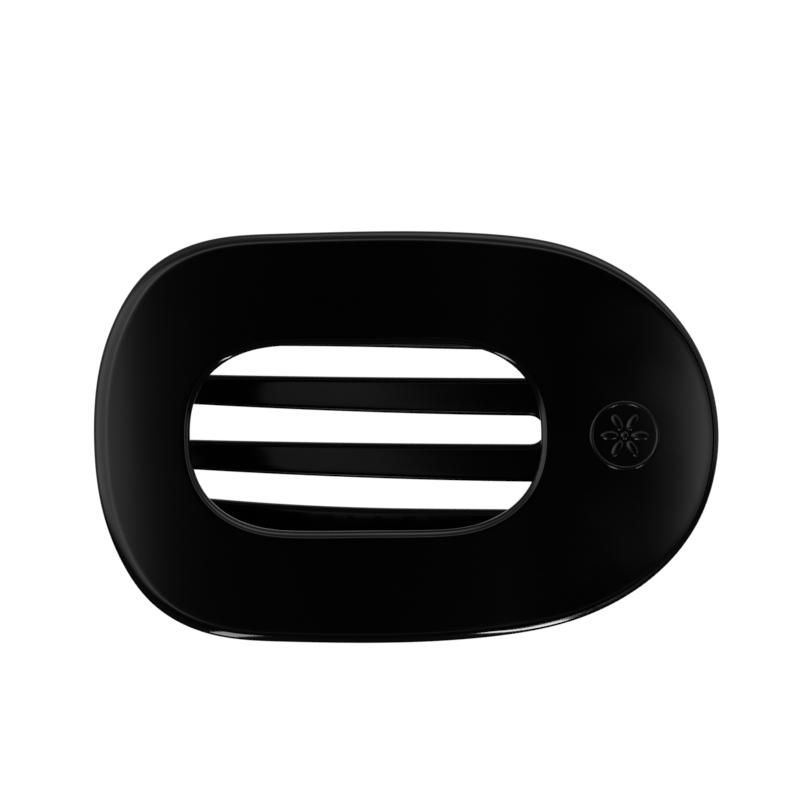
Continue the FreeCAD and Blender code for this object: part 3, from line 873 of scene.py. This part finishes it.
def add_bump(tree, shader, height, strength, distance):
    bump = tree.nodes.new("ShaderNodeBump")
    bump.inputs["Strength"].default_value = strength
    bump.inputs["Distance"].default_value = distance
    tree.links.new(height, bump.inputs["Height"])
    tree.links.new(bump.outputs["Normal"], shader.inputs["Normal"])


def gloss_plastic(name, rough_low, rough_high, flow, specular, thumb_haze):
    """Polished black moulding: faint flow marks, fine hairlines, grain, and haze where thumbs press."""
    material, tree, shader = node_tree(name)
    coords = tree.nodes.new("ShaderNodeTexCoord").outputs["Object"]
    cloud = add_noise(tree, coords, TONE_SCALE, detail=3.0)
    tone = add_ramp(tree, cloud, [(0.35, PLASTIC_DARK), (0.7, PLASTIC_LIGHT)])
    tree.links.new(tone, shader.inputs["Base Color"])
    wear = add_noise(tree, coords, POLISH_SCALE, detail=4.0)
    polish = add_range(tree, wear, 0.3, 0.75, rough_low, rough_high)
    place = tree.nodes.new("ShaderNodeSeparateXYZ")
    tree.links.new(coords, place.inputs[0])
    thumb = add_range(tree, place.outputs["X"], *HAZE_X, 0.0, thumb_haze)
    off_middle = add_math(tree, "ABSOLUTE", place.outputs["Y"], 0.0)
    thumb = add_math(tree, "MULTIPLY", thumb, add_range(tree, off_middle, *HAZE_Y, 1.0, 0.0))
    smears = add_range(tree, add_noise(tree, coords, SMEAR_SCALE), 0.35, 0.65, 0.55, 1.0)
    worn = add_math(tree, "ADD", polish, add_math(tree, "MULTIPLY", thumb, smears))
    tree.links.new(worn, shader.inputs["Roughness"])
    shader.inputs["IOR"].default_value = PLASTIC_IOR
    shader.inputs["Specular IOR Level"].default_value = specular
    waves = add_noise(tree, coords, WAVE_SCALE, detail=1.0, stretch=flow)
    hairs = add_noise(tree, coords, HAIRLINE_SCALE, stretch=HAIRLINE_STRETCH, roughness=0.7)
    grain = add_noise(tree, coords, GRAIN_SCALE, detail=1.0)
    height = add_math(tree, "ADD", waves, add_math(tree, "MULTIPLY", hairs, HAIRLINE_HEIGHT))
    height = add_math(tree, "ADD", height, add_math(tree, "MULTIPLY", grain, GRAIN_HEIGHT))
    add_bump(tree, shader, height, *PLASTIC_BUMP)
    return material


def drawn_steel(name, colour, along, rough_low, rough_high):
    """Bright drawn wire or pin: fine lines along the draw, small changes of tone."""
    material, tree, shader = node_tree(name)
    coords = tree.nodes.new("ShaderNodeTexCoord").outputs["Object"]
    lines = add_noise(tree, coords, DRAW_LINE_SCALE, stretch=along, roughness=0.6)
    darkest = tuple(c * STEEL_DARKEST for c in colour)
    tone = add_ramp(tree, add_noise(tree, coords, STEEL_TONE_SCALE), [(0.3, darkest), (0.7, colour)])
    tree.links.new(tone, shader.inputs["Base Color"])
    shader.inputs["Metallic"].default_value = 1.0
    tree.links.new(add_range(tree, lines, 0.3, 0.7, rough_low, rough_high), shader.inputs["Roughness"])
    add_bump(tree, shader, lines, *STEEL_BUMP)
    return material


# ================= build the pieces =================

cover_plastic = gloss_plastic("cover_plastic", rough_low=0.05, rough_high=0.09, flow=(0.6, 1.0, 1.0),
                              specular=0.5, thumb_haze=0.15)
comb_plastic = gloss_plastic("comb_plastic", rough_low=0.16, rough_high=0.24, flow=(0.5, 1.2, 1.0),
                             specular=0.10, thumb_haze=0.0)
pin_steel = drawn_steel("pin_steel", (0.62, 0.62, 0.63), along=(1.0, 0.03, 1.0),
                        rough_low=0.22, rough_high=0.36)
spring_steel = drawn_steel("spring_steel", (0.66, 0.65, 0.64), along=(0.4, 0.4, 0.4),
                           rough_low=0.16, rough_high=0.3)

plate = make_plate()
plate_tools = [make_eye(f"lug_{k}", LUG_R, LUG_BORE_R, LUG_NECK, 0.0, y0, y1)
               for k, (y0, y1) in enumerate(((LUG_Y0, LUG_Y1), (-LUG_Y1, -LUG_Y0)))]
plate_tools += [make_tooth(f"tooth_{k}", y) for k, y in enumerate(TOOTH_YS)]
plate = join_solids(plate, plate_tools)
finish_piece(plate, cover_plastic, "cover")
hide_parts("cover_plate")

finish_piece(make_emblem(), cover_plastic, "cover", sharp_deg=80.0)

comb = make_comb()
lean = math.pi + math.radians(TAB_SLOPE_DEG)
comb_tools = [make_eye(f"knuckle_{k}", KNUCKLE_R, PIN_R, KNUCKLE_NECK, lean, y0, y1)
              for k, (y0, y1) in enumerate(((KNUCKLE_Y0, KNUCKLE_Y1), (-KNUCKLE_Y1, -KNUCKLE_Y0)))]
comb = join_solids(comb, comb_tools)
finish_piece(comb, comb_plastic, "comb")
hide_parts("comb_jaw")

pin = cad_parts["hinge_pin"]
pin.data.materials.clear()
pin.data.materials.append(pin_steel)

spring = make_spring()
spring.data.materials.append(spring_steel)
smooth_shading(spring)
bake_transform(spring)
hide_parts("torsion_spring")


# ================= floor, light and camera =================

def make_floor():
    """A light table: it glows white, and reflections pass it by."""
    mesh = bpy.data.meshes.new("floor")
    corners = [(-FLOOR_HALF, -FLOOR_HALF, 0), (FLOOR_HALF, -FLOOR_HALF, 0), (FLOOR_HALF, FLOOR_HALF, 0),
               (-FLOOR_HALF, FLOOR_HALF, 0)]
    mesh.from_pydata(corners, [], [(0, 1, 2, 3)])
    floor = bpy.data.objects.new("floor", mesh)
    bpy.context.scene.collection.objects.link(floor)
    floor.location.z = FLOOR_Z
    material, _, shader = node_tree("light_table")
    shader.inputs["Base Color"].default_value = (FLOOR_BASE, FLOOR_BASE, FLOOR_BASE, 1)
    shader.inputs["Roughness"].default_value = 0.9
    shader.inputs["Specular IOR Level"].default_value = 0.0
    shader.inputs["Emission Color"].default_value = (1, 1, 1, 1)
    shader.inputs["Emission Strength"].default_value = FLOOR_GLOW
    mesh.materials.append(material)
    floor.visible_glossy = False


def make_world():
    """Studio surroundings: dark overhead, a pale ring of ceiling round it, and bright back and left walls."""
    world = bpy.data.worlds.new("studio")
    bpy.context.scene.world = world
    world.use_nodes = True
    tree = world.node_tree
    background = tree.nodes["Background"]
    way = tree.nodes.new("ShaderNodeSeparateXYZ")
    tree.links.new(tree.nodes.new("ShaderNodeTexCoord").outputs["Generated"], way.inputs[0])
    x, y, z = way.outputs["X"], way.outputs["Y"], way.outputs["Z"]
    rings = add_ramp(tree, z, [(position, (level, level, level)) for position, level in CEILING_STOPS])
    ceiling = add_math(tree, "MULTIPLY", rings, add_range(tree, y, *FRONT_Y, FRONT_DIM, 1.0))
    toward_back = add_math(tree, "ADD", add_math(tree, "MULTIPLY", x, BACK_WALL_WAY[0]),
                           add_math(tree, "MULTIPLY", y, BACK_WALL_WAY[1]))
    back = add_range(tree, toward_back, *BACK_WALL_EDGE, 0.0, 1.0)
    sideways = add_math(tree, "ABSOLUTE", y, 0.0)
    left = add_math(tree, "MULTIPLY", add_range(tree, x, *LEFT_WALL_X, 0.0, LEFT_WALL_GLOW),
                    add_range(tree, sideways, *LEFT_WALL_Y, 1.0, 0.0))
    above = add_range(tree, z, *WALL_FOOT_Z, 0.0, 1.0)
    wall = add_math(tree, "MULTIPLY", add_math(tree, "MAXIMUM", back, left), above)
    tree.links.new(add_math(tree, "ADD", ceiling, wall), background.inputs["Color"])
    background.inputs["Strength"].default_value = 1.0


def add_softbox(name, place, target, width, height, power):
    light = bpy.data.lights.new(name, "AREA")
    light.shape = "RECTANGLE"
    light.size = width
    light.size_y = height
    light.energy = power
    lamp = bpy.data.objects.new(name, light)
    bpy.context.scene.collection.objects.link(lamp)
    lamp.location = place
    lamp.rotation_euler = (Vector(target) - Vector(place)).to_track_quat("-Z", "Y").to_euler()


def make_camera():
    """A long lens above the clip, leaning a little towards its +Y side."""
    sin_x, cos_x = math.sin(CAMERA_LEAN_X), math.cos(CAMERA_LEAN_X)
    sin_y, cos_y = math.sin(CAMERA_LEAN_Y), math.cos(CAMERA_LEAN_Y)
    away = Vector((sin_x, cos_x * sin_y, cos_x * cos_y))
    level = Vector((cos_x, -sin_x * sin_y, -sin_x * cos_y))
    steep = Vector((0.0, cos_y, -sin_y))
    right = level * math.cos(CAMERA_ROLL) - steep * math.sin(CAMERA_ROLL)
    up = level * math.sin(CAMERA_ROLL) + steep * math.cos(CAMERA_ROLL)
    centre = (Vector(CAMERA_AIM) + away * CAMERA_DISTANCE - right * (PICTURE_RIGHT / PICTURE_SCALE)
              + up * (PICTURE_UP / PICTURE_SCALE))
    data = bpy.data.cameras.new("camera")
    data.sensor_width = SENSOR_WIDTH
    data.lens = SENSOR_WIDTH * PICTURE_SCALE * CAMERA_DISTANCE / PICTURE_WIDTH
    data.clip_start, data.clip_end = CAMERA_CLIP
    camera = bpy.data.objects.new("camera", data)
    bpy.context.scene.collection.objects.link(camera)
    turn = Matrix((right, up, away)).transposed().to_4x4()
    camera.matrix_world = Matrix.Translation(centre * MM) @ turn
    bpy.context.scene.camera = camera


make_floor()
make_world()
for softbox in SOFTBOXES:
    add_softbox(*softbox)
make_camera()
bpy.context.scene.view_settings.view_transform = "Standard"
